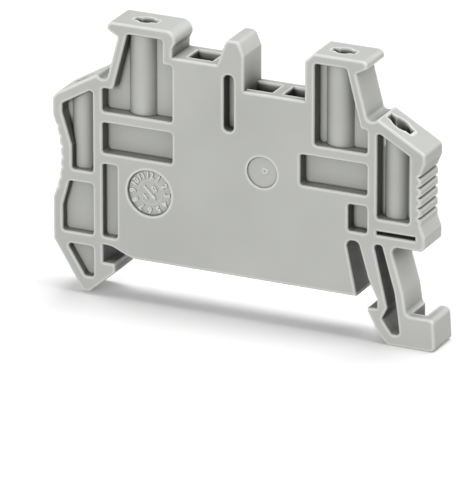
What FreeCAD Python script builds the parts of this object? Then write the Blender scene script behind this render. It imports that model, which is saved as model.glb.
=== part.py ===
import FreeCAD, Part

import math
import os

import Sketcher

# One moulded stop that clips on between its hook and its latch.
# X runs from the hook to the latch, Y through the stop's width and Z up. The origin is level
# with the seat, midway between the edges that are gripped, and halfway through the width.
# The hook side is at -X, the springy latch at +X and the side with the dial at -Y.

# Driving sizes in millimetres
SIZES = {
    # what the stop grips, and the gaps left round it
    "rail_width": 35.0,
    "flange_thick": 1.0,
    "hook_gap": 0.5,
    "latch_gap": 0.05,
    "flange_play": 0.1,
    # body
    "stop_width": 5.15,
    "hook_depth": 6.45,
    "shoulder_depth": 5.95,
    "top_level": 29.2,
    "rim_level": 25.95,
    "pit_level": 23.2,
    "shelf_level": 6.85,
    # marker towers and the arms beside them
    "hook_neck_in": 2.1,
    "latch_neck_in": 2.85,
    "hook_tower_length": 7.4,
    "latch_tower_length": 6.5,
    "neck_level": 27.5,
    "neck_spread": 1.45,
    "lip_reach": 1.35,
    "lip_rise": 0.75,
    "valley_level": 21.95,
    "valley_width": 0.8,
    "peak_run": 0.55,
    "peak_rise": 0.4,
    "slope_fall": 0.577,
    "tower_chamfer": 1.06,
    "undercut": 0.4,
    "undercut_height": 1.0,
    "undercut_slope": 0.8,
    # prong between the two notches
    "prong_side": 0.38,
    "prong_base": 3.43,
    "prong_top": 1.55,
    "prong_lean": 0.73,
    "prong_chamfer": 1.7,
    # finger grip on the hook side, ribs on the latch side
    "grip_radius": 12.85,
    "grip_sag": 1.05,
    "grip_level": 11.4,
    "tooth_pitch": 1.28,
    "tooth_depth": 0.3,
    "tooth_width": 0.7,
    "cut_overlap": 0.2,
    "rib_inset": 0.5,
    "rib_base": 9.9,
    "rib_top": 16.3,
    "rib_run": 1.3,
    "rib_first": 10.9,
    "rib_pitch": 1.27,
    "rib_depth": 0.45,
    "rib_width": 0.75,
    # hook
    "slant_top": 0.95,
    "slant_run": 3.8,
    "hook_drop": 5.1,
    "hook_toe": 0.9,
    "hook_nose": 1.6,
    "hook_nose_thick": 1.1,
    "relief_height": 1.15,
    "relief_flat": 1.1,
    "relief_run": 2.6,
    # gap between the body and the latch
    "gap_seat_in": 2.65,
    "gap_top_in": 4.1,
    "latch_root_in": 2.45,
    # latch legs, the slot between them given outward from the latch's upright inner face
    "knee_in": 1.1,
    "knee_level": 2.3,
    "nose_reach": 1.25,
    "nose_fall": 0.15,
    "nose_thick": 0.35,
    "slot_top_in": 0.5,
    "slot_width": 1.05,
    "slot_bend_out": 2.2,
    "slot_bend_level": 1.2,
    "slot_low_out": 2.6,
    "slot_heel_out": 2.9,
    "slot_toe_out": 1.85,
    "slot_drop": 4.05,
    "slot_cheek_out": 0.6,
    "slot_cheek_drop": 2.3,
    "slot_waist_out": 1.3,
    "slot_waist_drop": 0.9,
    "outer_leg": 1.1,
    # foot
    "foot_drop": 5.45,
    "foot_top": 1.45,
    "foot_length": 7.4,
    "foot_draft": 0.25,
    "heel_out": 0.2,
    "heel_rise": 1.25,
    "sole_out": 1.35,
    "foot_wall": 1.3,
    "foot_floor": 1.35,
    "foot_pocket_length": 1.85,
    # walls and recesses
    "outer_wall": 1.2,
    "inner_wall": 1.2,
    "row_wall": 1.35,
    "level_wall": 1.5,
    "cap_wall": 1.2,
    "rim_wall": 1.0,
    "slope_wall": 1.6,
    "grip_wall": 1.4,
    "slant_wall": 1.5,
    "front_recess": 1.66,
    "shallow_recess": 1.1,
    "back_recess": 1.9,
    "panel_wall": 1.5,
    "upper_base": 17.9,
    "upper_shoulder": 2.95,
    "row_height": 3.85,
    "hook_row_length": 9.15,
    "latch_row_length": 8.6,
    "column_width": 1.95,
    "column_height": 9.2,
    "window_width": 2.45,
    "window_height": 3.35,
    "arm_base": 10.05,
    "grip_pocket_knee": 2.95,
    "grip_pocket_shoulder": 4.0,
    "lower_pocket_taper": 0.9,
    "lower_pocket_knee": 3.2,
    "slant_pocket_drop": 3.2,
    "slit_height": 0.5,
    "slit_wall": 1.15,
    "panel_slot_width": 1.33,
    "panel_slot_height": 7.0,
    "panel_slot_in": 0.82,
    "core_base": 1.3,
    # tubes, marker holes and sockets
    "tower_tube": 4.0,
    "tower_tube_in": 2.6,
    "arm_tube": 3.5,
    "arm_tube_in": 1.9,
    "key_hole": 2.0,
    "key_slot_length": 3.0,
    "key_slot_width": 1.0,
    "key_depth": 9.0,
    "arm_hole": 2.3,
    "arm_slot_length": 3.0,
    "arm_slot_width": 1.4,
    "arm_slot_floor": 18.7,
    "arm_hole_floor": 13.0,
    "socket_length": 3.2,
    "socket_wall": 1.05,
    "socket_width": 2.95,
    "rim_socket_depth": 9.0,
    "pit_socket_depth": 5.0,
    # shallow mould marks
    "dial_size": 5.75,
    "dial_in": 6.15,
    "dial_level": 8.6,
    "dial_depth": 0.4,
    "gate_size": 3.9,
    "gate_side": 2.75,
    "gate_level": 13.5,
    "gate_depth": 0.22,
    # rounding, and the narrow chamfer along the rims of both faces
    "corner_round": 0.6,
    "tower_round": 1.2,
    "gap_round": 0.7,
    "slot_round": 0.42,
    "bend_round": 4.0,
    "relief_round": 3.0,
    "recess_round": 0.35,
    "panel_slot_round": 0.6,
    "rim_chamfer": 0.13,
}

# Copies in the patterns
TEETH = 7
RIB_GROOVES = 5
CORES = 3


class Length:
    """A size, or sizes put together, as a number and as the formula that the sheet works out."""

    def __init__(self, number, formula):
        self.number = number
        self.formula = formula

    def __add__(self, other):
        other = as_length(other)
        return Length(self.number + other.number, f"({self.formula} + {other.formula})")

    def __sub__(self, other):
        other = as_length(other)
        return Length(self.number - other.number, f"({self.formula} - {other.formula})")

    def __mul__(self, other):
        other = as_length(other)
        return Length(self.number * other.number, f"({self.formula} * {other.formula})")

    def __truediv__(self, other):
        other = as_length(other)
        return Length(self.number / other.number, f"({self.formula} / {other.formula})")

    def __neg__(self):
        return Length(-self.number, f"(-1 * {self.formula})")


def as_length(value):
    """A plain number as a Length, so that it may stand in a sum."""
    return value if isinstance(value, Length) else Length(float(value), str(value))


class Sizes:
    """The driving sizes by name."""


size = Sizes()
for name, number in SIZES.items():
    setattr(size, name, Length(number, "sizes." + name))

ZERO = Length(0.0, "0")

# How near two places are taken as one
NEAR = 0.01

doc = FreeCAD.newDocument("end_stop")
sheet = doc.addObject("Spreadsheet::Sheet", "sizes")
for row, (name, number) in enumerate(SIZES.items(), start=1):
    sheet.set(f"A{row}", name)
    sheet.set(f"B{row}", str(number))
    sheet.setAlias(f"B{row}", name)
doc.recompute()


# Places worked out from the sizes

half_width = size.stop_width / 2

hook_face = -(size.rail_width / 2 + size.hook_gap)
latch_face = size.rail_width / 2 + size.latch_gap
flange_under = -(size.flange_thick + size.flange_play)

hook_side = hook_face - size.hook_depth
latch_side = latch_face + size.shoulder_depth
rib_face = latch_side - size.rib_inset

hook_neck = hook_face + size.hook_neck_in
latch_neck = latch_face - size.latch_neck_in
hook_tower = hook_neck + size.hook_tower_length
latch_tower = latch_neck - size.latch_tower_length
hook_tower_foot = hook_tower - size.undercut

peak_level = size.valley_level + size.peak_rise
peak_out = size.neck_spread + size.valley_width + size.peak_run
hook_peak = hook_neck - peak_out
latch_peak = latch_neck + peak_out

prong_left = size.prong_side - size.prong_base
prong_top_right = size.prong_side - size.prong_lean
prong_top_left = prong_top_right - size.prong_top

latch_root = latch_face - size.latch_root_in
slot_left = latch_face - size.slot_top_in
slot_right = slot_left + size.slot_width
foot_right = latch_face + size.foot_length

cap_under = size.top_level - size.cap_wall
row_2_top = size.upper_base - size.row_wall
row_2_base = row_2_top - size.row_height
row_3_top = row_2_base - size.row_wall
lower_top = size.arm_base - size.level_wall
lower_base = row_3_top - size.column_height
slant_pocket_top = lower_base - size.level_wall
hook_row_end = hook_face + size.hook_row_length
latch_column = latch_face - size.row_wall
latch_row_end = latch_column - size.latch_row_length
arm_left = hook_side + size.outer_wall
hook_arm_right = hook_face - size.inner_wall
latch_arm_left = latch_column + size.inner_wall

hook_tube = hook_neck + size.tower_tube_in
latch_tube = latch_neck - size.tower_tube_in
hook_arm_tube = hook_arm_right - size.arm_tube_in
latch_arm_tube = latch_arm_left + size.arm_tube_in


def hook_slope(across):
    """Level of the hook arm's sloped top at a place along X."""
    return peak_level - (hook_peak - across) * size.slope_fall


def latch_slope(across):
    """Level of the latch arm's sloped top at a place along X."""
    return peak_level - (across - latch_peak) * size.slope_fall


# Outlines

def rectangle(left, base, right, top):
    """Corners of an upright rectangle."""
    return [(left, base), (right, base), (right, top), (left, top)]


def lip_to_peak(neck, out):
    """A tower's lip and neck, the valley and the arm's peak; out is 1 or -1, away from the tower."""
    lip = neck + size.lip_reach * out
    valley = neck + size.neck_spread * out
    return [
        (lip, size.top_level),
        (lip, size.neck_level + size.lip_rise),
        (neck, size.neck_level),
        (valley, size.valley_level),
        (valley + size.valley_width * out, size.valley_level),
        (neck + peak_out * out, peak_level),
    ]


def relief_corners():
    """Ends of the slope that leads from the seat up to the relief beside the hook."""
    relief_end = hook_face + size.relief_flat
    return [(relief_end, size.relief_height), (relief_end + size.relief_run, ZERO)]


def plate_outline():
    """Body and hook, without the latch, anticlockwise from the seat's end at the latch."""
    hook_tip = hook_side + size.slant_run
    hook_nose = hook_face + size.hook_nose
    undercut_top = size.rim_level + size.undercut_height
    return [
        (latch_face - size.gap_seat_in, ZERO),
        (latch_face - size.gap_top_in, size.shelf_level),
        (latch_side, size.shelf_level),
        (latch_side, size.rib_base - size.rib_run),
        (rib_face, size.rib_base),
        (rib_face, size.rib_top),
        (latch_side, size.rib_top + size.rib_run),
        (latch_side, latch_slope(latch_side)),
        *reversed(lip_to_peak(latch_neck, 1)),
        (latch_tower + size.tower_chamfer, size.top_level),
        (latch_tower, size.top_level - size.tower_chamfer),
        (latch_tower, size.pit_level),
        (size.prong_side, size.pit_level),
        (size.prong_side, size.top_level - size.prong_chamfer),
        (prong_top_right, size.top_level),
        (prong_top_left, size.top_level),
        (prong_left, size.rim_level),
        (hook_tower_foot, size.rim_level),
        (hook_tower_foot, undercut_top),
        (hook_tower, undercut_top + size.undercut_slope),
        (hook_tower, size.top_level),
        *lip_to_peak(hook_neck, -1),
        (hook_side, hook_slope(hook_side)),
        (hook_side, size.slant_top),
        (hook_tip, -size.hook_drop),
        (hook_tip + size.hook_toe, -size.hook_drop),
        (hook_nose, flange_under - size.hook_nose_thick),
        (hook_nose, flange_under),
        (hook_face, flange_under),
        (hook_face, size.relief_height),
        *relief_corners(),
    ]


def latch_outline():
    """Both legs, the nose and the foot; its top is sunk in the shelf."""
    root_top = size.shelf_level + size.slit_wall / 2
    nose_tip = latch_face - size.nose_reach
    nose_top = flange_under - size.nose_fall
    return [
        (latch_root, root_top),
        (latch_root, size.shelf_level),
        (latch_face - size.knee_in, size.knee_level),
        (latch_face, ZERO),
        (latch_face, flange_under),
        (nose_tip, nose_top),
        (nose_tip, nose_top - size.nose_thick),
        (latch_face + size.heel_out, size.heel_rise - size.foot_drop),
        (latch_face + size.sole_out, -size.foot_drop),
        (foot_right, -size.foot_drop),
        (foot_right - size.foot_draft, -size.foot_top),
        (latch_face + size.slot_low_out + size.outer_leg, -size.foot_top),
        (latch_face + size.slot_bend_out + size.outer_leg, size.slot_bend_level),
        (slot_right + size.outer_leg, size.shelf_level),
        (slot_right + size.outer_leg, root_top),
    ]


def latch_slot_outline():
    """Slot between the two legs, wider where it ends in the foot."""
    return [
        (slot_left, size.shelf_level),
        (latch_face + size.slot_waist_out, -size.slot_waist_drop),
        (latch_face + size.slot_cheek_out, -size.slot_cheek_drop),
        (latch_face + size.slot_toe_out, -size.slot_drop),
        (latch_face + size.slot_heel_out, -size.slot_drop),
        (latch_face + size.slot_low_out, -size.foot_top),
        (latch_face + size.slot_bend_out, size.slot_bend_level),
        (slot_right, size.shelf_level),
    ]


def tower_pocket(neck, wall_face, base_end, out):
    """Tall pocket in a tower, which follows the neck and widens below it; out is 1 or -1."""
    shoulder = size.upper_base + size.upper_shoulder
    neck_rate = size.neck_spread / (size.neck_level - size.valley_level)
    neck_inside = neck - size.inner_wall * out
    neck_foot = neck_inside + (cap_under - shoulder) * neck_rate * out
    return [
        (base_end, size.upper_base),
        (base_end, shoulder),
        (neck_foot, shoulder),
        (neck_inside, cap_under),
        (wall_face, cap_under),
    ]


def deep_recesses():
    """Outlines of the deep recesses, alike on both faces: towers, rows, window and arms."""
    hook_wall_face = hook_tower_foot - size.inner_wall
    latch_wall_face = latch_tower + size.inner_wall
    rim_under = size.rim_level - size.rim_wall
    grip_left = hook_side + size.grip_sag + size.grip_wall
    grip_knee = size.arm_base + size.grip_pocket_knee
    arm_right = rib_face - size.grip_wall
    return {
        "hook_tower": [
            *tower_pocket(hook_neck, hook_wall_face, hook_face, -1),
            (hook_wall_face, rim_under),
            (hook_row_end, rim_under),
            (hook_row_end, size.upper_base),
        ],
        "latch_tower": [
            *tower_pocket(latch_neck, latch_wall_face, latch_column, 1),
            (latch_wall_face, size.upper_base),
        ],
        "hook_row": rectangle(hook_face, row_2_base, hook_row_end, row_2_top),
        "latch_row": rectangle(latch_row_end, row_2_base, latch_column, row_2_top),
        "latch_window": rectangle(
            latch_column - size.window_width, row_3_top - size.window_height, latch_column, row_3_top
        ),
        "hook_arm": [
            (hook_arm_right, size.arm_base),
            (hook_arm_right, hook_slope(hook_arm_right) - size.slope_wall),
            (arm_left, hook_slope(arm_left) - size.slope_wall),
            (arm_left, grip_knee + size.grip_pocket_shoulder),
            (grip_left, grip_knee),
            (grip_left, size.arm_base),
        ],
        "latch_arm": [
            (latch_arm_left, size.arm_base),
            (arm_right, size.arm_base),
            (arm_right, latch_slope(arm_right) - size.slope_wall),
            (latch_arm_left, latch_slope(latch_arm_left) - size.slope_wall),
        ],
    }


def shallow_recesses():
    """Outlines of the recesses round the hook, shallower on the front: column, lower arm and slant."""
    slant_rate = size.slant_run / (size.slant_top + size.hook_drop)
    slant_left = hook_side + (size.slant_top - slant_pocket_top) * slant_rate + size.slant_wall
    slant_low = hook_side + (size.slant_top + size.slant_pocket_drop) * slant_rate + size.slant_wall
    return {
        "hook_column": rectangle(hook_face, lower_base, hook_face + size.column_width, row_3_top),
        "hook_lower": [
            (arm_left, lower_base),
            (hook_arm_right, lower_base),
            (hook_arm_right, lower_top),
            (arm_left + size.lower_pocket_taper, lower_top),
            (arm_left, lower_base + size.lower_pocket_knee),
        ],
        "hook_slant": [
            (slant_left, slant_pocket_top),
            (slant_low, -size.slant_pocket_drop),
            (hook_arm_right, -size.slant_pocket_drop),
            (hook_arm_right, slant_pocket_top),
        ],
    }


def core_outlines():
    """Equal cores behind the plain panel, side by side between the columns."""
    left = hook_face + size.column_width + size.inner_wall
    right = latch_column - size.window_width - size.inner_wall
    width = (right - left - size.inner_wall * (CORES - 1)) / CORES
    cores = []
    for step in range(CORES):
        start = left + (width + size.inner_wall) * step
        cores.append(rectangle(start, size.core_base, start + width, row_3_top))
    return cores


# Sketching and feature helpers

def origin_feature(body, role):
    """One of the body's own planes or axes."""
    return [part for part in body.Origin.OriginFeatures if part.Role == role][0]


def new_sketch(body, name, role, offset=ZERO):
    """Empty sketch on an origin plane, moved along the plane's normal by the offset."""
    sketch = body.newObject("Sketcher::SketchObject", name)
    sketch.AttachmentSupport = (origin_feature(body, role), "")
    sketch.MapMode = "FlatFace"
    if offset is not ZERO:
        sketch.setExpression("AttachmentOffset.Base.z", offset.formula)
    return sketch


def held_at(geometry, point, place):
    """Constraints, with their formulas, that hold a point at its distances from the sketch's axes."""
    held = []
    for kind, axis, distance in (("DistanceX", -2, place[0]), ("DistanceY", -1, place[1])):
        if distance is ZERO:
            held.append((Sketcher.Constraint("PointOnObject", geometry, point, axis), None))
        else:
            constraint = Sketcher.Constraint(kind, -1, 1, geometry, point, distance.number)
            held.append((constraint, distance.formula))
    return held


def constrain(sketch, held):
    """Add the constraints, each following its formula where it has one."""
    first = sketch.ConstraintCount
    sketch.addConstraint([constraint for constraint, formula in held])
    for count, (constraint, formula) in enumerate(held, start=first):
        if formula is not None:
            sketch.setExpression(f"Constraints[{count}]", formula)


def draw_outline(sketch, corners):
    """Closed outline of straight sides; every corner is held."""
    first = sketch.GeometryCount
    points = [FreeCAD.Vector(across.number, up.number, 0) for across, up in corners]
    sketch.addGeometry([Part.LineSegment(*ends) for ends in zip(points, points[1:] + points[:1])])
    held = []
    for step, place in enumerate(corners):
        following = first + (step + 1) % len(corners)
        held.append((Sketcher.Constraint("Coincident", first + step, 2, following, 1), None))
        held += held_at(first + step, 1, place)
    constrain(sketch, held)


def draw_circle(sketch, place, diameter):
    """Circle held at its centre."""
    across, up = place
    radius = diameter / 2
    centre = FreeCAD.Vector(across.number, up.number, 0)
    circle = sketch.addGeometry(Part.Circle(centre, FreeCAD.Vector(0, 0, 1), radius.number))
    held = held_at(circle, 3, place)
    held.append((Sketcher.Constraint("Radius", circle, radius.number), radius.formula))
    constrain(sketch, held)


def add_pad(body, name, sketch, length, symmetric=False, reverse=False):
    """Material on the sketch's outlines."""
    pad = body.newObject("PartDesign::Pad", name)
    pad.Profile = sketch
    pad.Reversed = reverse
    if symmetric:
        pad.SideType = "Symmetric"
    pad.setExpression("Length", length.formula)
    doc.recompute()
    return pad


def add_pocket(body, name, sketch, depth=None, reverse=False):
    """Cut of a given depth, or right through both ways where no depth is given."""
    pocket = body.newObject("PartDesign::Pocket", name)
    pocket.Profile = sketch
    if depth is None:
        pocket.Type = "ThroughAll"
        pocket.SideType = "Symmetric"
    else:
        pocket.Reversed = reverse
        pocket.setExpression("Length", depth.formula)
    doc.recompute()
    return pocket


def edge_names(shape, wanted):
    """Names of the shape's edges that a test picks."""
    return [f"Edge{count}" for count, edge in enumerate(shape.Edges, start=1) if wanted(edge)]


def along_width(edge):
    """True for an edge that runs along Y."""
    box = edge.BoundBox
    return box.XLength < NEAR and box.ZLength < NEAR


def on_a_face(edge):
    """True for an edge that lies in the plane of one of the two flat faces."""
    box = edge.BoundBox
    return box.YLength < NEAR and abs(abs(box.YMin) - half_width.number) < NEAR


def middle_of(edge):
    """Middle of an edge, as whole hundredths of a millimetre."""
    place = edge.CenterOfMass
    return tuple(round(distance / NEAR) for distance in place)


def round_edges(body, name, names, radius):
    """Round the named edges of the newest feature."""
    base = body.Tip
    fillet = body.newObject("PartDesign::Fillet", name)
    fillet.Base = (base, names)
    fillet.setExpression("Radius", radius.formula)
    doc.recompute()


def chamfer_edges(body, name, names, width):
    """Chamfer the named edges of the newest feature by the same width on both sides."""
    base = body.Tip
    chamfer = body.newObject("PartDesign::Chamfer", name)
    chamfer.Base = (base, names)
    chamfer.setExpression("Size", width.formula)
    doc.recompute()


def round_corners(body, name, corners, radius):
    """Round the outline at the given corners."""
    def at_a_corner(edge):
        place = edge.CenterOfMass
        return along_width(edge) and any(
            abs(place.x - across.number) < NEAR and abs(place.z - up.number) < NEAR
            for across, up in corners
        )

    round_edges(body, name, edge_names(body.Tip.Shape, at_a_corner), radius)


def repeat(body, name, kind, feature, copies, step):
    """Row of copies of a feature: kind gives the pattern and what it goes along or about."""
    pattern = body.newObject(f"PartDesign::{kind[0]}", name)
    pattern.Originals = [feature]
    setattr(pattern, kind[1], kind[2])
    pattern.Mode = "Spacing"
    pattern.Occurrences = copies
    pattern.setExpression("Offset", step)
    body.Tip = pattern
    doc.recompute()


# Body and latch

body = doc.addObject("PartDesign::Body", "end_stop")
body.Label = "end_stop"

plate_sketch = new_sketch(body, "plate_sketch", "XZ_Plane")
draw_outline(plate_sketch, plate_outline())
add_pad(body, "plate", plate_sketch, size.stop_width, symmetric=True)

latch_sketch = new_sketch(body, "latch_sketch", "XZ_Plane")
draw_outline(latch_sketch, latch_outline())
add_pad(body, "latch", latch_sketch, size.stop_width, symmetric=True)

latch_slot_sketch = new_sketch(body, "latch_slot_sketch", "XZ_Plane")
draw_outline(latch_slot_sketch, latch_slot_outline())
add_pocket(body, "latch_slot", latch_slot_sketch)

slit_sketch = new_sketch(body, "slit_sketch", "XZ_Plane")
slit = rectangle(latch_arm_left, lower_top - size.slit_height, latch_side - size.slit_wall, lower_top)
draw_outline(slit_sketch, slit)
add_pocket(body, "slit", slit_sketch)

round_corners(
    body,
    "outer_corners",
    [
        (latch_neck + size.lip_reach, size.top_level),
        (hook_neck - size.lip_reach, size.top_level),
        (size.prong_side, size.top_level - size.prong_chamfer),
        (prong_top_right, size.top_level),
        (prong_top_left, size.top_level),
        (latch_neck + size.neck_spread, size.valley_level),
        (hook_neck - size.neck_spread, size.valley_level),
        (latch_side, size.shelf_level),
        (latch_side, latch_slope(latch_side)),
        (foot_right, -size.foot_drop),
        (foot_right - size.foot_draft, -size.foot_top),
        (latch_face + size.sole_out, -size.foot_drop),
        (latch_face + size.heel_out, size.heel_rise - size.foot_drop),
        (latch_face + size.slot_low_out + size.outer_leg, -size.foot_top),
    ],
    size.corner_round,
)
round_corners(
    body,
    "tower_corners",
    [(hook_tower, size.top_level), (hook_side, hook_slope(hook_side))],
    size.tower_round,
)
round_corners(
    body,
    "gap_corners",
    [
        (latch_face - size.gap_top_in, size.shelf_level),
        (latch_root, size.shelf_level),
        (slot_right + size.outer_leg, size.shelf_level),
    ],
    size.gap_round,
)
round_corners(body, "slot_corners", latch_slot_outline()[:5] + latch_slot_outline()[-1:], size.slot_round)
round_corners(
    body,
    "leg_bends",
    [
        (latch_face - size.knee_in, size.knee_level),
        (latch_face + size.slot_bend_out, size.slot_bend_level),
        (latch_face + size.slot_bend_out + size.outer_leg, size.slot_bend_level),
    ],
    size.bend_round,
)
round_corners(body, "relief_bends", relief_corners(), size.relief_round)

# Finger grip, struck with one radius

grip_centre = (hook_side + size.grip_sag - size.grip_radius, size.grip_level)
grip_sketch = new_sketch(body, "grip_sketch", "XZ_Plane")
draw_circle(grip_sketch, grip_centre, size.grip_radius * 2)
add_pocket(body, "grip", grip_sketch)

# Foot pocket for the tip of a screwdriver, open above and behind

foot_sketch = new_sketch(body, "foot_pocket_sketch", "XZ_Plane", -half_width)
foot_pocket_right = foot_right - size.foot_draft - size.foot_wall
foot_pocket_base = size.foot_floor - size.foot_drop
foot_pocket = rectangle(
    foot_pocket_right - size.foot_pocket_length, foot_pocket_base, foot_pocket_right, ZERO
)
draw_outline(foot_sketch, foot_pocket)
add_pocket(body, "foot_pocket", foot_sketch, size.stop_width - size.foot_wall, reverse=True)

# Softened outer edges of both faces

chamfer_edges(body, "outer_rims", edge_names(body.Tip.Shape, on_a_face), size.rim_chamfer)

# Teeth of the grip, a fan of notches about the grip's centre

tooth_sketch = new_sketch(body, "tooth_sketch", "XZ_Plane")
tooth_angle = size.tooth_pitch / size.grip_radius
first_tooth = -tooth_angle * (TEETH - 1) / 2
turned = FreeCAD.Rotation(FreeCAD.Vector(0, 0, 1), math.degrees(first_tooth.number))
tooth_sketch.AttachmentOffset = FreeCAD.Placement(FreeCAD.Vector(), turned)
tooth_sketch.setExpression("AttachmentOffset.Base.x", grip_centre[0].formula)
tooth_sketch.setExpression("AttachmentOffset.Base.y", grip_centre[1].formula)
tooth_sketch.setExpression("AttachmentOffset.Rotation.Angle", f"{first_tooth.formula} * 1 rad")
tooth_mouth = size.grip_radius - size.cut_overlap
tooth_root = size.grip_radius + size.tooth_depth
half_tooth = size.tooth_width / 2
draw_outline(
    tooth_sketch, [(tooth_mouth, -half_tooth), (tooth_root, ZERO), (tooth_mouth, half_tooth)]
)
tooth = add_pocket(body, "tooth", tooth_sketch)
fan = ("PolarPattern", "Axis", (tooth_sketch, ["N_Axis"]))
repeat(body, "teeth", fan, tooth, TEETH, f"{tooth_angle.formula} * 1 rad")

# Ribs beside the latch arm, left standing between level notches

notch_sketch = new_sketch(body, "rib_notch_sketch", "XZ_Plane")
half_notch = size.rib_width / 2
notch_mouth = rib_face + size.cut_overlap
draw_outline(
    notch_sketch,
    [
        (notch_mouth, size.rib_first - half_notch),
        (notch_mouth, size.rib_first + half_notch),
        (rib_face - size.rib_depth, size.rib_first),
    ],
)
notch = add_pocket(body, "rib_notch", notch_sketch)
upward = ("LinearPattern", "Direction", (origin_feature(body, "Z_Axis"), [""]))
repeat(body, "rib_notches", upward, notch, RIB_GROOVES, size.rib_pitch.formula)

# Marker holes in the towers and arms: a round hole crossed by a slot

for place, centres, hole, hole_depth, slot_length, slot_width, slot_depth in (
    (
        "tower",
        (hook_tube, latch_tube),
        size.key_hole,
        size.key_depth,
        size.key_slot_length,
        size.key_slot_width,
        size.key_depth,
    ),
    (
        "arm",
        (hook_arm_tube, latch_arm_tube),
        size.arm_hole,
        size.top_level - size.arm_hole_floor,
        size.arm_slot_length,
        size.arm_slot_width,
        size.top_level - size.arm_slot_floor,
    ),
):
    hole_sketch = new_sketch(body, f"{place}_hole_sketch", "XY_Plane", size.top_level)
    slot_sketch = new_sketch(body, f"{place}_slot_sketch", "XY_Plane", size.top_level)
    for across in centres:
        draw_circle(hole_sketch, (across, ZERO), hole)
        left = across - slot_length / 2
        draw_outline(slot_sketch, rectangle(left, -slot_width / 2, left + slot_length, slot_width / 2))
    add_pocket(body, f"{place}_holes", hole_sketch, hole_depth)
    add_pocket(body, f"{place}_slots", slot_sketch, slot_depth)

# Square sockets in the floors of the two notches

half_socket = size.socket_width / 2
rim_socket_right = prong_left - size.socket_wall
rim_socket_sketch = new_sketch(body, "rim_socket_sketch", "XY_Plane", size.rim_level)
rim_socket = rectangle(rim_socket_right - size.socket_length, -half_socket, rim_socket_right, half_socket)
draw_outline(rim_socket_sketch, rim_socket)
add_pocket(body, "rim_socket", rim_socket_sketch, size.rim_socket_depth)

pit_socket_sketch = new_sketch(body, "pit_socket_sketch", "XY_Plane", size.pit_level)
for left in (size.prong_side, latch_tower - size.socket_length):
    draw_outline(pit_socket_sketch, rectangle(left, -half_socket, left + size.socket_length, half_socket))
add_pocket(body, "pit_sockets", pit_socket_sketch, size.pit_socket_depth)

# Space of the recesses in both faces and of the cores behind the plain panel, less the upright tubes

space = doc.addObject("PartDesign::Body", "recess_space")
front = half_width + size.cut_overlap
deep = list(deep_recesses().values())
shallow = list(shallow_recesses().values())
for name, drawn, offset, depth, reverse in (
    ("front_space", deep, front, size.front_recess, True),
    ("front_shallow_space", shallow, front, size.shallow_recess, True),
    ("back_space", deep + shallow, -front, size.back_recess, False),
    ("core_space", core_outlines(), -front, size.stop_width - size.panel_wall, False),
):
    space_sketch = new_sketch(space, f"{name}_sketch", "XZ_Plane", offset)
    for outline in drawn:
        draw_outline(space_sketch, outline)
    add_pad(space, name, space_sketch, depth + size.cut_overlap, reverse=reverse)
round_edges(space, "space_corners", edge_names(space.Tip.Shape, along_width), size.recess_round)

panel_slot_left = prong_left + size.panel_slot_in
panel_slot = rectangle(
    panel_slot_left,
    size.upper_base,
    panel_slot_left + size.panel_slot_width,
    size.upper_base + size.panel_slot_height,
)
panel_slot_sketch = new_sketch(space, "panel_slot_sketch", "XZ_Plane", front)
draw_outline(panel_slot_sketch, panel_slot)
add_pad(space, "panel_slot", panel_slot_sketch, size.front_recess + size.cut_overlap, reverse=True)
round_corners(space, "panel_slot_ends", panel_slot, size.panel_slot_round)

for place, centres, diameter, base in (
    ("tower", (hook_tube, latch_tube), size.tower_tube, size.upper_base - size.row_wall / 2),
    ("arm", (hook_arm_tube, latch_arm_tube), size.arm_tube, size.arm_base - size.level_wall / 2),
):
    tube_sketch = new_sketch(space, f"{place}_tube_sketch", "XY_Plane", size.top_level)
    for across in centres:
        draw_circle(tube_sketch, (across, ZERO), diameter)
    add_pocket(space, f"{place}_tubes", tube_sketch, size.top_level - base)

before_the_cut = {middle_of(edge) for edge in body.Tip.Shape.Edges}
recesses = body.newObject("PartDesign::Boolean", "recesses")
recesses.Type = "Cut"
recesses.setObjects([space])
body.Tip = recesses
doc.recompute()

# Softened mouths of the recesses


def at_a_mouth(edge):
    """True for an edge of a flat face that the recesses have made."""
    return on_a_face(edge) and middle_of(edge) not in before_the_cut


chamfer_edges(body, "recess_mouths", edge_names(recesses.Shape, at_a_mouth), size.rim_chamfer)

# Shallow marks of the mould: the dial and the dish at the gate

for name, centre, diameter, depth in (
    ("dial", (hook_face + size.dial_in, size.dial_level), size.dial_size, size.dial_depth),
    ("gate", (size.gate_side, size.gate_level), size.gate_size, size.gate_depth),
):
    mark_sketch = new_sketch(body, f"{name}_sketch", "XZ_Plane", half_width)
    draw_circle(mark_sketch, centre, diameter)
    add_pocket(body, name, mark_sketch, depth)

# Soundness, then the file

failed = [item.Label for item in doc.Objects if "Invalid" in item.State or "Error" in item.State]
if failed:
    raise RuntimeError(f"These did not build: {failed}")
solid = body.Tip.Shape
if solid.isNull() or not solid.isValid() or len(solid.Solids) != 1:
    raise RuntimeError(f"{body.Label} is not one sound solid")
os.makedirs("parts", exist_ok=True)
solid.exportStep(f"parts/{body.Label}.step")
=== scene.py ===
import math

import bmesh
import bpy
import numpy as np
from mathutils import Matrix, Vector


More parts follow.
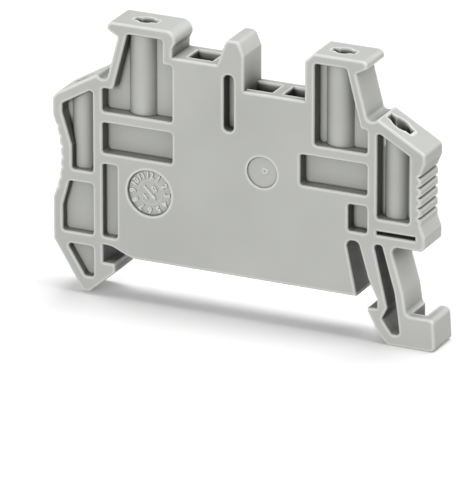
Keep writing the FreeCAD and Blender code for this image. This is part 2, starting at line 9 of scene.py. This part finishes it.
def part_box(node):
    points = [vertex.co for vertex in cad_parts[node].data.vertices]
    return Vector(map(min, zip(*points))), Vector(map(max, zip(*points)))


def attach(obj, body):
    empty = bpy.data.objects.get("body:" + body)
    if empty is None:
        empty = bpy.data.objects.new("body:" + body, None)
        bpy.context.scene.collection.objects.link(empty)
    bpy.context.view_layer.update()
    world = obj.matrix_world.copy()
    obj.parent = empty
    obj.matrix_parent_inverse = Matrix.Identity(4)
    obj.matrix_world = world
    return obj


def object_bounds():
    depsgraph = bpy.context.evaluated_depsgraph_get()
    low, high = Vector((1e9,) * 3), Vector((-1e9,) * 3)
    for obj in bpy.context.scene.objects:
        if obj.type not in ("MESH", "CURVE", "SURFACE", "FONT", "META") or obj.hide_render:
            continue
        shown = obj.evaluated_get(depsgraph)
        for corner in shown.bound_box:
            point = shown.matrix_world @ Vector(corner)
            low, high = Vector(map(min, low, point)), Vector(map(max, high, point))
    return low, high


# One moulded stop of grey polyamide. The frame is in metres: X from the hook to the latch, Y away
# from the dial side, Z up.

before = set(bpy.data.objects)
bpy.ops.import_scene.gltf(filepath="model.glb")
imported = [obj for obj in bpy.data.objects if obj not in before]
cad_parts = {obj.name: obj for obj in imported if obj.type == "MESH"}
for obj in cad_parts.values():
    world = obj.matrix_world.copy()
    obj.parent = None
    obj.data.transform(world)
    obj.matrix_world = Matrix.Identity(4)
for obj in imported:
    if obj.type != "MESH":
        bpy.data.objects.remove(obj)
cad_low, cad_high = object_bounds()
stop_low, stop_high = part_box("end_stop")

MM = 0.001

# Centres on the front of the moulding, along X and up, and the depths of the two round recesses
FRONT = stop_low.y
DIAL_CENTRE = (-11.85 * MM, 8.6 * MM)
DIAL_DEPTH = 0.4 * MM
GATE_NUB = (3.12 * MM, 13.7 * MM)
GATE_DEPTH = 0.22 * MM

# Raised marks of the dial, which start a little under its floor
MARK_RISE = 0.26 * MM
MARK_SINK = 0.03 * MM

# Numbers in a ring round the dial; points nearer than the last length are merged
HOURS = 12
NUMBER_RING = 2.17 * MM
NUMBER_SIZE = 1.05 * MM
NUMBER_BOLD = 0.03 * MM
NUMBER_CURVE_STEPS = 4
NUMBER_MERGE = 0.0001 * MM

# Digits beside the arrow: the digit, its direction from the centre and its lean, in degrees
DIGIT_SIDE = 0.8 * MM
SIDE_DIGITS = (("1", 135, -90), ("0", -45, 90))

# Arrow, its head given as length and width
ARROW_TURN = math.radians(-45)
ARROW_LENGTH = 2.2 * MM
ARROW_WIDTH = 0.27 * MM
ARROW_HEAD = (0.6 * MM, 0.62 * MM)

# Ring of the insert that carries the arrow, and how many sides its round section has
INSERT_RING = 1.5 * MM
INSERT_THICK = 0.05 * MM
INSERT_SIDES = 10
INSERT_STEPS = 72

# Nub of the gate from its foot to the bottom of its crater: distances from its axis, and rises
NUB_RADIUS = np.array([0.46, 0.44, 0.38, 0.3, 0.24, 0.19, 0.14, 0.1]) * MM
NUB_RISE = np.array([-0.03, 0.02, 0.11, 0.17, 0.18, 0.14, -0.02, -0.06]) * MM
NUB_STEPS = 40

# Colours of the moulding, in linear light; the edge grey is a painted highlight and the deep grey is
# painted shade
GREY = (0.445, 0.453, 0.426)
GREY_PALE = (0.51, 0.518, 0.49)
PAINTED_HIGHLIGHT_GREY = (0.68, 0.685, 0.66)
PAINTED_SHADE_GREY = (0.03, 0.03, 0.028)

# Noises of its finish, each with its scale, its detail and its share of the height
GRAIN_SCALE, GRAIN_DETAIL, GRAIN_SHARE = 5200, 3, 0.7
WAVE_SCALE, WAVE_DETAIL, WAVE_SHARE = 260, 2, 0.3
CLOUD_SCALE, CLOUD_DETAIL = 70, 3
CLOUD_SPAN = (0.3, 0.7)
BUMP_STRENGTH = 0.4
BUMP_HEIGHT = 0.02 * MM
ROUGHNESS = (0.5, 0.62)
POLYAMIDE_IOR = 1.53

# Painted highlight along the outer edges: how wide it is, how round the edges look, and the shares
# at which it starts and is full
EDGE_WIDTH = 0.4 * MM
EDGE_ROUNDING = 0.1 * MM
EDGE_SPAN = (0.96, 0.8)
EDGE_STRENGTH = 0.95
EDGE_SAMPLES = 8

# Painted shade in hollows, each with the strength of its mask and the values of its group
WALLS = (0.8, {"Reach": 5 * MM, "Open": 0.97, "Closed": 0.5, "Floor share": 0.42})
SOCKETS = (0.95, {"Reach": 6 * MM, "Open": 0.4, "Closed": 0.18, "Floor share": 1})
CORNERS = (0.88, {"Reach": 0.45 * MM, "Open": 0.88, "Closed": 0.52, "Floor share": 1})
NEAR_SAMPLES = 16

# Floor as the camera sees it, and as it lights the moulding
FLOOR_SEEN = (0.97, 0.97, 0.97)
FLOOR_LIT = (0.2, 0.2, 0.2)
FLOOR_REACH = 3.0
FLOOR_ROUGHNESS = 0.9

# Studio light: the world's level, and each lamp with its place, size and power
WORLD_LEVEL = 0.22
LAMP_AIM = (0, 0, 0.01)
LAMPS = (
    ("front", (-0.07, -0.7, 0.17), 0.3, 3.75),
    ("latch_side", (0.6, 0.06, 0.24), 0.35, 1.9),
    ("back", (0.12, 0.68, 0.05), 0.35, 2.9),
    ("hook_side", (-0.62, 0.1, 0.1), 0.35, 2.0),
    ("top", (0.0, 0.12, 0.8), 0.5, 4.4),
)

# Camera; its lens and sensor are in millimetres, and the nearest and farthest view in metres
AZIMUTH = math.radians(25)
ELEVATION = math.radians(21)
PHOTO_WIDTH = 470
PHOTO_HEIGHT = 500
PIXELS_PER_METRE = 8530
LENS = 600
SENSOR = 36
VIEW_DEPTH = (0.01, 20)
CENTRE_IN_PHOTO = (251.5, 175.6)

# Sockets of the mix node that belong to its colours
MIX_INPUTS = (0, 6, 7)
MIX_OUTPUT = 2


# Node helpers

def feed(tree, socket, value):
    """Give an input a number, a colour or the output of another node."""
    if isinstance(value, (int, float)):
        socket.default_value = value
    elif isinstance(value, tuple):
        socket.default_value = (*value, 1)
    else:
        tree.links.new(value, socket)


def add_node(tree, kind, **settings):
    """New shader node with its settings."""
    node = tree.nodes.new(kind)
    for name, value in settings.items():
        setattr(node, name, value)
    return node


def math_node(tree, operation, *values):
    """Math node on sockets or numbers; gives back its output."""
    node = add_node(tree, "ShaderNodeMath", operation=operation)
    for slot, value in enumerate(values):
        feed(tree, node.inputs[slot], value)
    return node.outputs[0]


def mix_colours(tree, factor, first, second):
    """Colour between the first and the second by the factor; each may be a colour or a socket."""
    node = add_node(tree, "ShaderNodeMix", data_type="RGBA")
    for slot, value in zip(MIX_INPUTS, (factor, first, second)):
        feed(tree, node.inputs[slot], value)
    return node.outputs[MIX_OUTPUT]


def spread(tree, value, span=(0, 1), onto=(0, 1)):
    """Value carried evenly from one span onto another and held at its ends, which may be sockets."""
    node = add_node(tree, "ShaderNodeMapRange")
    feed(tree, node.inputs["Value"], value)
    for name, end in zip(("From Min", "From Max", "To Min", "To Max"), (*span, *onto)):
        feed(tree, node.inputs[name], end)
    return node.outputs[0]


def noise(tree, place, scale, detail):
    """Noise over a place; gives back its value."""
    node = add_node(tree, "ShaderNodeTexNoise")
    for name, value in (("Vector", place), ("Scale", scale), ("Detail", detail)):
        feed(tree, node.inputs[name], value)
    return node.outputs[0]


def new_group(name, takes, gives):
    """Group that takes numbers by name and gives out sockets by name and kind; gives back the group
    with its entry and its exit."""
    group = bpy.data.node_groups.new(name, "ShaderNodeTree")
    for socket in takes:
        group.interface.new_socket(socket, in_out="INPUT", socket_type="NodeSocketFloat")
    for socket, kind in gives.items():
        group.interface.new_socket(socket, in_out="OUTPUT", socket_type=kind)
    return group, add_node(group, "NodeGroupInput"), add_node(group, "NodeGroupOutput")


# Finish

def moulded_grain():
    """Group with the fine spark-eroded grain of a mould: two noises, one at grain size and one at
    the size of slow waves, added as a height from 0 to 1, and a slow cloudiness from 0 to 1."""
    gives = {"Height": "NodeSocketFloat", "Clouds": "NodeSocketFloat"}
    group, entry, leave = new_group("moulded_grain", ["Grain size"], gives)
    place = add_node(group, "ShaderNodeTexCoord").outputs["Object"]
    grain = noise(group, place, entry.outputs["Grain size"], GRAIN_DETAIL)
    waves = noise(group, place, WAVE_SCALE, WAVE_DETAIL)
    clouds = noise(group, place, CLOUD_SCALE, CLOUD_DETAIL)
    fine = math_node(group, "MULTIPLY", grain, GRAIN_SHARE)
    slow = math_node(group, "MULTIPLY", waves, WAVE_SHARE)
    feed(group, leave.inputs["Height"], math_node(group, "ADD", fine, slow))
    feed(group, leave.inputs["Clouds"], spread(group, clouds, CLOUD_SPAN))
    return group


def near_surface(group, reach, inside):
    """Share of directions, outwards or into the solid, in which no surface lies within the reach."""
    seen = add_node(
        group, "ShaderNodeAmbientOcclusion", samples=NEAR_SAMPLES, only_local=True, inside=inside
    )
    feed(group, seen.inputs["Distance"], reach)
    return seen.outputs["AO"]


def edge_light():
    """Group with the mask of a painted highlight, 1 on outer edges and 0 on flat faces: near an outer
    edge, many lines into the solid come out again within the width. It also rounds the normal over a small
    radius."""
    gives = {"Edge": "NodeSocketFloat", "Normal": "NodeSocketVector"}
    group, entry, leave = new_group("edge_light", ["Width", "Rounding"], gives)
    rounded = add_node(group, "ShaderNodeBevel", samples=EDGE_SAMPLES)
    feed(group, rounded.inputs["Radius"], entry.outputs["Rounding"])
    feed(group, leave.inputs["Normal"], rounded.outputs[0])
    thickness = near_surface(group, entry.outputs["Width"], True)
    feed(group, leave.inputs["Edge"], spread(group, thickness, EDGE_SPAN))
    return group


def hollow_shade():
    """Group with the mask of painted shade, 0 on open faces and 1 in deep or narrow hollows, from the
    directions
    in which a wall lies within the reach: the shading starts at one share and is full at another.
    Floors, which face along Y, and walls that face up take only a share of it, and the other walls
    the whole: the share falls evenly from 1 as the face turns that way."""
    takes = ("Reach", "Open", "Closed", "Floor share")
    group, entry, leave = new_group("hollow_shade", takes, {"Hollow": "NodeSocketFloat"})
    near = near_surface(group, entry.outputs["Reach"], False)
    closed_in = spread(group, near, (entry.outputs["Open"], entry.outputs["Closed"]))
    facing = add_node(group, "ShaderNodeSeparateXYZ")
    feed(group, facing.inputs[0], add_node(group, "ShaderNodeTexCoord").outputs["Normal"])
    along_y = math_node(group, "ABSOLUTE", facing.outputs["Y"])
    turned = math_node(group, "MAXIMUM", along_y, facing.outputs["Z"])
    share = spread(group, turned, onto=(1, entry.outputs["Floor share"]))
    feed(group, leave.inputs["Hollow"], math_node(group, "MULTIPLY", closed_in, share))
    return group


def place_hollow(tree, hollows, strength, values):
    """Hollow group in a material, with its values; gives back its mask at the strength."""
    node = add_node(tree, "ShaderNodeGroup", node_tree=hollows)
    for name, value in values.items():
        feed(tree, node.inputs[name], value)
    return math_node(tree, "MULTIPLY", node.outputs["Hollow"], strength)


def polyamide(grain, edges, hollows):
    """Light grey polyamide, matt from the mould, with a painted highlight along its edges and painted shade
    in its hollows.
    """
    material = bpy.data.materials.new("grey_polyamide")
    material.use_nodes = True
    tree = material.node_tree
    shader = tree.nodes["Principled BSDF"]
    surface = add_node(tree, "ShaderNodeGroup", node_tree=grain)
    feed(tree, surface.inputs["Grain size"], GRAIN_SCALE)
    rim = add_node(tree, "ShaderNodeGroup", node_tree=edges)
    feed(tree, rim.inputs["Width"], EDGE_WIDTH)
    feed(tree, rim.inputs["Rounding"], EDGE_ROUNDING)
    # Painted shade: the colour darkens in hollows, sockets and inner corners
    wall, socket, corner = (place_hollow(tree, hollows, *kind) for kind in (WALLS, SOCKETS, CORNERS))
    painted_shade = math_node(tree, "MAXIMUM", math_node(tree, "MAXIMUM", wall, socket), corner)
    body = mix_colours(tree, surface.outputs["Clouds"], GREY, GREY_PALE)
    shaded = mix_colours(tree, painted_shade, body, PAINTED_SHADE_GREY)
    # Painted highlight: the colour turns paler along the outer edges
    painted_highlight = math_node(tree, "MULTIPLY", rim.outputs["Edge"], EDGE_STRENGTH)
    feed(tree, shader.inputs["Base Color"], mix_colours(tree, painted_highlight, shaded, PAINTED_HIGHLIGHT_GREY))
    rough = spread(tree, surface.outputs["Height"], onto=ROUGHNESS)
    feed(tree, shader.inputs["Roughness"], rough)
    bump = add_node(tree, "ShaderNodeBump")
    feed(tree, bump.inputs["Strength"], BUMP_STRENGTH)
    feed(tree, bump.inputs["Distance"], BUMP_HEIGHT)
    feed(tree, bump.inputs["Height"], surface.outputs["Height"])
    feed(tree, bump.inputs["Normal"], rim.outputs["Normal"])
    feed(tree, shader.inputs["Normal"], bump.outputs[0])
    feed(tree, shader.inputs["IOR"], POLYAMIDE_IOR)
    return material


# Marks of the mould, small forms that stand on the floors of the two round recesses

def add_mark(name, mesh, material):
    """Piece of the moulding made of a finished mesh."""
    mesh.materials.append(material)
    piece = bpy.data.objects.new(name, mesh)
    bpy.context.scene.collection.objects.link(piece)
    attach(piece, "root")


def mesh_of(name, points, faces):
    """Mesh of a closed shape, with its faces turned outwards."""
    mesh = bpy.data.meshes.new(name)
    mesh.from_pydata(points.tolist(), [], faces)
    shape = bmesh.new()
    shape.from_mesh(mesh)
    bmesh.ops.recalc_face_normals(shape, faces=shape.faces)
    shape.to_mesh(mesh)
    shape.free()
    return mesh


def on_front(centre, floor, across, up, rise):
    """Points of the frame for places across and up from a centre on the front, each standing off a
    floor by its rise: x and z are added to the centre, and y is the floor less the rise."""
    return np.stack([centre[0] + across, floor - rise, centre[1] + up], axis=-1)


def turned_form(name, centre, floor, radius, rise, steps, closed=False):
    """Surface turned about the centre: each point of the profile, at its radius and rise, goes round
    a full circle in equal steps. The ends of an open profile are capped with flat faces."""
    angle = np.arange(steps) * math.tau / steps
    across = radius[:, None] * np.cos(angle)
    up = radius[:, None] * np.sin(angle)
    level = np.broadcast_to(rise[:, None], across.shape)
    points = on_front(centre, floor, across, up, level).reshape(-1, 3)
    rings = len(radius)
    bands = rings if closed else rings - 1
    row, column = np.meshgrid(np.arange(bands), np.arange(steps), indexing="ij")
    after = (column + 1) % steps
    this_ring = row * steps
    next_ring = (row + 1) % rings * steps
    corners = (this_ring + column, this_ring + after, next_ring + after, next_ring + column)
    faces = np.stack([corner.ravel() for corner in corners], axis=1).tolist()
    if not closed:
        faces.append(list(range(steps)))
        faces.append(list(range((rings - 1) * steps, rings * steps)))
    return mesh_of(name, points, faces)


def raised_outline(name, centre, floor, outline, turn):
    """Flat form with upright sides: the outline, turned about the centre, once at the foot just under
    the floor and once at the top, with a side between each two neighbouring corners."""
    across, up = np.array(outline).T
    turned_across = across * math.cos(turn) - up * math.sin(turn)
    turned_up = across * math.sin(turn) + up * math.cos(turn)
    count = len(across)
    foot = on_front(centre, floor, turned_across, turned_up, np.full(count, -MARK_SINK))
    top = on_front(centre, floor, turned_across, turned_up, np.full(count, MARK_RISE))
    start = np.arange(count)
    after = (start + 1) % count
    sides = np.stack([start, after, after + count, start + count], axis=1).tolist()
    faces = [*sides, list(range(count)), list(range(count, 2 * count))]
    return mesh_of(name, np.concatenate([foot, top]), faces)


def arrow():
    """Corners of an arrow through the centre, its head at the far end."""
    tip = ARROW_LENGTH / 2
    neck = tip - ARROW_HEAD[0]
    half = ARROW_WIDTH / 2
    head = ARROW_HEAD[1] / 2
    return [(-tip, -half), (neck, -half), (neck, -head), (tip, 0), (neck, head), (neck, half), (-tip, half)]


def add_numbers(floor, material):
    """Plain numbers round the dial, each with its head outwards, and one digit each side of the
    arrow, in one piece: each is set off from the centre in its direction and turned by it and its
    lean."""
    places = [(str(hour), NUMBER_RING, -math.tau * hour / HOURS, 0) for hour in range(1, HOURS + 1)]
    for digit, direction, lean in SIDE_DIGITS:
        places.append((digit, DIGIT_SIDE, math.radians(direction), math.radians(lean)))
    middle = floor - (MARK_RISE - MARK_SINK) / 2
    shape = bmesh.new()
    for words, ring, around, lean in places:
        letters = bpy.data.curves.new("number", "FONT")
        letters.body = words
        letters.size = NUMBER_SIZE
        letters.offset = NUMBER_BOLD
        letters.align_x = "CENTER"
        letters.align_y = "CENTER"
        letters.extrude = (MARK_RISE + MARK_SINK) / 2
        letters.resolution_u = NUMBER_CURVE_STEPS
        holder = bpy.data.objects.new("number", letters)
        flat = bpy.data.meshes.new_from_object(holder)
        turn = around + lean
        across = DIAL_CENTRE[0] - ring * math.sin(around)
        up = DIAL_CENTRE[1] + ring * math.cos(around)
        flat.transform(
            Matrix(
                (
                    (math.cos(turn), -math.sin(turn), 0, across),
                    (0, 0, -1, middle),
                    (math.sin(turn), math.cos(turn), 0, up),
                    (0, 0, 0, 1),
                )
            )
        )
        shape.from_mesh(flat)
        bpy.data.objects.remove(holder)
        bpy.data.curves.remove(letters)
        bpy.data.meshes.remove(flat)
    bmesh.ops.remove_doubles(shape, verts=shape.verts, dist=NUMBER_MERGE)
    bmesh.ops.recalc_face_normals(shape, faces=shape.faces)
    mesh = bpy.data.meshes.new("dial_numbers")
    shape.to_mesh(mesh)
    shape.free()
    add_mark("dial_numbers", mesh, material)


def add_dial(material):
    """Dial of the mould: numbers, an arrow and the ring of the insert, whose round section is
    centred on the floor."""
    floor = FRONT + DIAL_DEPTH
    add_numbers(floor, material)
    add_mark("dial_arrow", raised_outline("dial_arrow", DIAL_CENTRE, floor, arrow(), ARROW_TURN), material)
    angle = np.arange(INSERT_SIDES) * math.tau / INSERT_SIDES
    radius = INSERT_RING + INSERT_THICK * np.cos(angle)
    rise = INSERT_THICK * np.sin(angle)
    ring = turned_form("dial_ring", DIAL_CENTRE, floor, radius, rise, INSERT_STEPS, closed=True)
    add_mark("dial_ring", ring, material)


def add_gate_nub(material):
    """Stub left where the gate was sheared: a low cone with a small crater in its top."""
    nub = turned_form("gate_nub", GATE_NUB, FRONT + GATE_DEPTH, NUB_RADIUS, NUB_RISE, NUB_STEPS)
    add_mark("gate_nub", nub, material)


# Stage

def make_floor():
    """Pale floor under the foot, far wider than the view, white to the camera and in reflections."""
    mesh = bpy.data.meshes.new("floor")
    corners = [(x * FLOOR_REACH, y * FLOOR_REACH) for x, y in ((-1, -1), (1, -1), (1, 1), (-1, 1))]
    mesh.from_pydata([(x, y, cad_low.z) for x, y in corners], [], [(0, 1, 2, 3)])
    floor = bpy.data.objects.new("floor", mesh)
    bpy.context.scene.collection.objects.link(floor)
    material = bpy.data.materials.new("floor_white")
    material.use_nodes = True
    tree = material.node_tree
    shader = tree.nodes["Principled BSDF"]
    feed(tree, shader.inputs["Roughness"], FLOOR_ROUGHNESS)
    feed(tree, shader.inputs["Specular IOR Level"], 0)
    rays = add_node(tree, "ShaderNodeLightPath")
    looked_at = math_node(tree, "MAXIMUM", rays.outputs["Is Camera Ray"], rays.outputs["Is Glossy Ray"])
    feed(tree, shader.inputs["Base Color"], mix_colours(tree, looked_at, FLOOR_LIT, FLOOR_SEEN))
    mesh.materials.append(material)


def add_softbox(name, place, size, power):
    """Square area light that faces the stop."""
    light = bpy.data.lights.new(name, "AREA")
    light.energy = power
    light.size = size
    holder = bpy.data.objects.new(name, light)
    holder.location = place
    holder.rotation_mode = "QUATERNION"
    holder.rotation_quaternion = (Vector(LAMP_AIM) - Vector(place)).to_track_quat("-Z", "Y")
    bpy.context.scene.collection.objects.link(holder)


def light_world():
    """Even world light, which the camera sees as white."""
    world = bpy.data.worlds.new("studio")
    bpy.context.scene.world = world
    world.use_nodes = True
    tree = world.node_tree
    tree.nodes.clear()
    out = add_node(tree, "ShaderNodeOutputWorld")
    mix = add_node(tree, "ShaderNodeMixShader")
    rays = add_node(tree, "ShaderNodeLightPath")
    feed(tree, mix.inputs[0], rays.outputs["Is Camera Ray"])
    for slot, strength in ((1, WORLD_LEVEL), (2, 1)):
        even = add_node(tree, "ShaderNodeBackground")
        feed(tree, even.inputs["Color"], (1, 1, 1))
        feed(tree, even.inputs["Strength"], strength)
        feed(tree, mix.inputs[slot], even.outputs[0])
    feed(tree, out.inputs[0], mix.outputs[0])


def aim_camera():
    """Long lens from the dial side, to the latch's side and a little above; the stop's centre falls
    where the photograph has it."""
    right = Vector((math.cos(AZIMUTH), math.sin(AZIMUTH), 0))
    back = Vector(
        (
            math.sin(AZIMUTH) * math.cos(ELEVATION),
            -math.cos(AZIMUTH) * math.cos(ELEVATION),
            math.sin(ELEVATION),
        )
    )
    up = back.cross(right)
    centre = (stop_low + stop_high) / 2
    across = (CENTRE_IN_PHOTO[0] - PHOTO_WIDTH / 2) / PIXELS_PER_METRE
    above = (PHOTO_HEIGHT / 2 - CENTRE_IN_PHOTO[1]) / PIXELS_PER_METRE
    target = centre - right * across - up * above
    distance = LENS / SENSOR * PHOTO_HEIGHT / PIXELS_PER_METRE
    lens = bpy.data.cameras.new("camera")
    lens.lens = LENS
    lens.sensor_width = SENSOR
    lens.clip_start, lens.clip_end = VIEW_DEPTH
    camera = bpy.data.objects.new("camera", lens)
    camera.location = target + back * distance
    camera.rotation_mode = "QUATERNION"
    camera.rotation_quaternion = (-back).to_track_quat("-Z", "Y")
    bpy.context.scene.collection.objects.link(camera)
    bpy.context.scene.camera = camera


bpy.context.scene.view_settings.view_transform = "Standard"
aim_camera()
make_floor()
light_world()
for lamp in LAMPS:
    add_softbox(*lamp)

stop_material = polyamide(moulded_grain(), edge_light(), hollow_shade())
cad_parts["end_stop"].material_slots[0].material = stop_material
add_dial(stop_material)
add_gate_nub(stop_material)
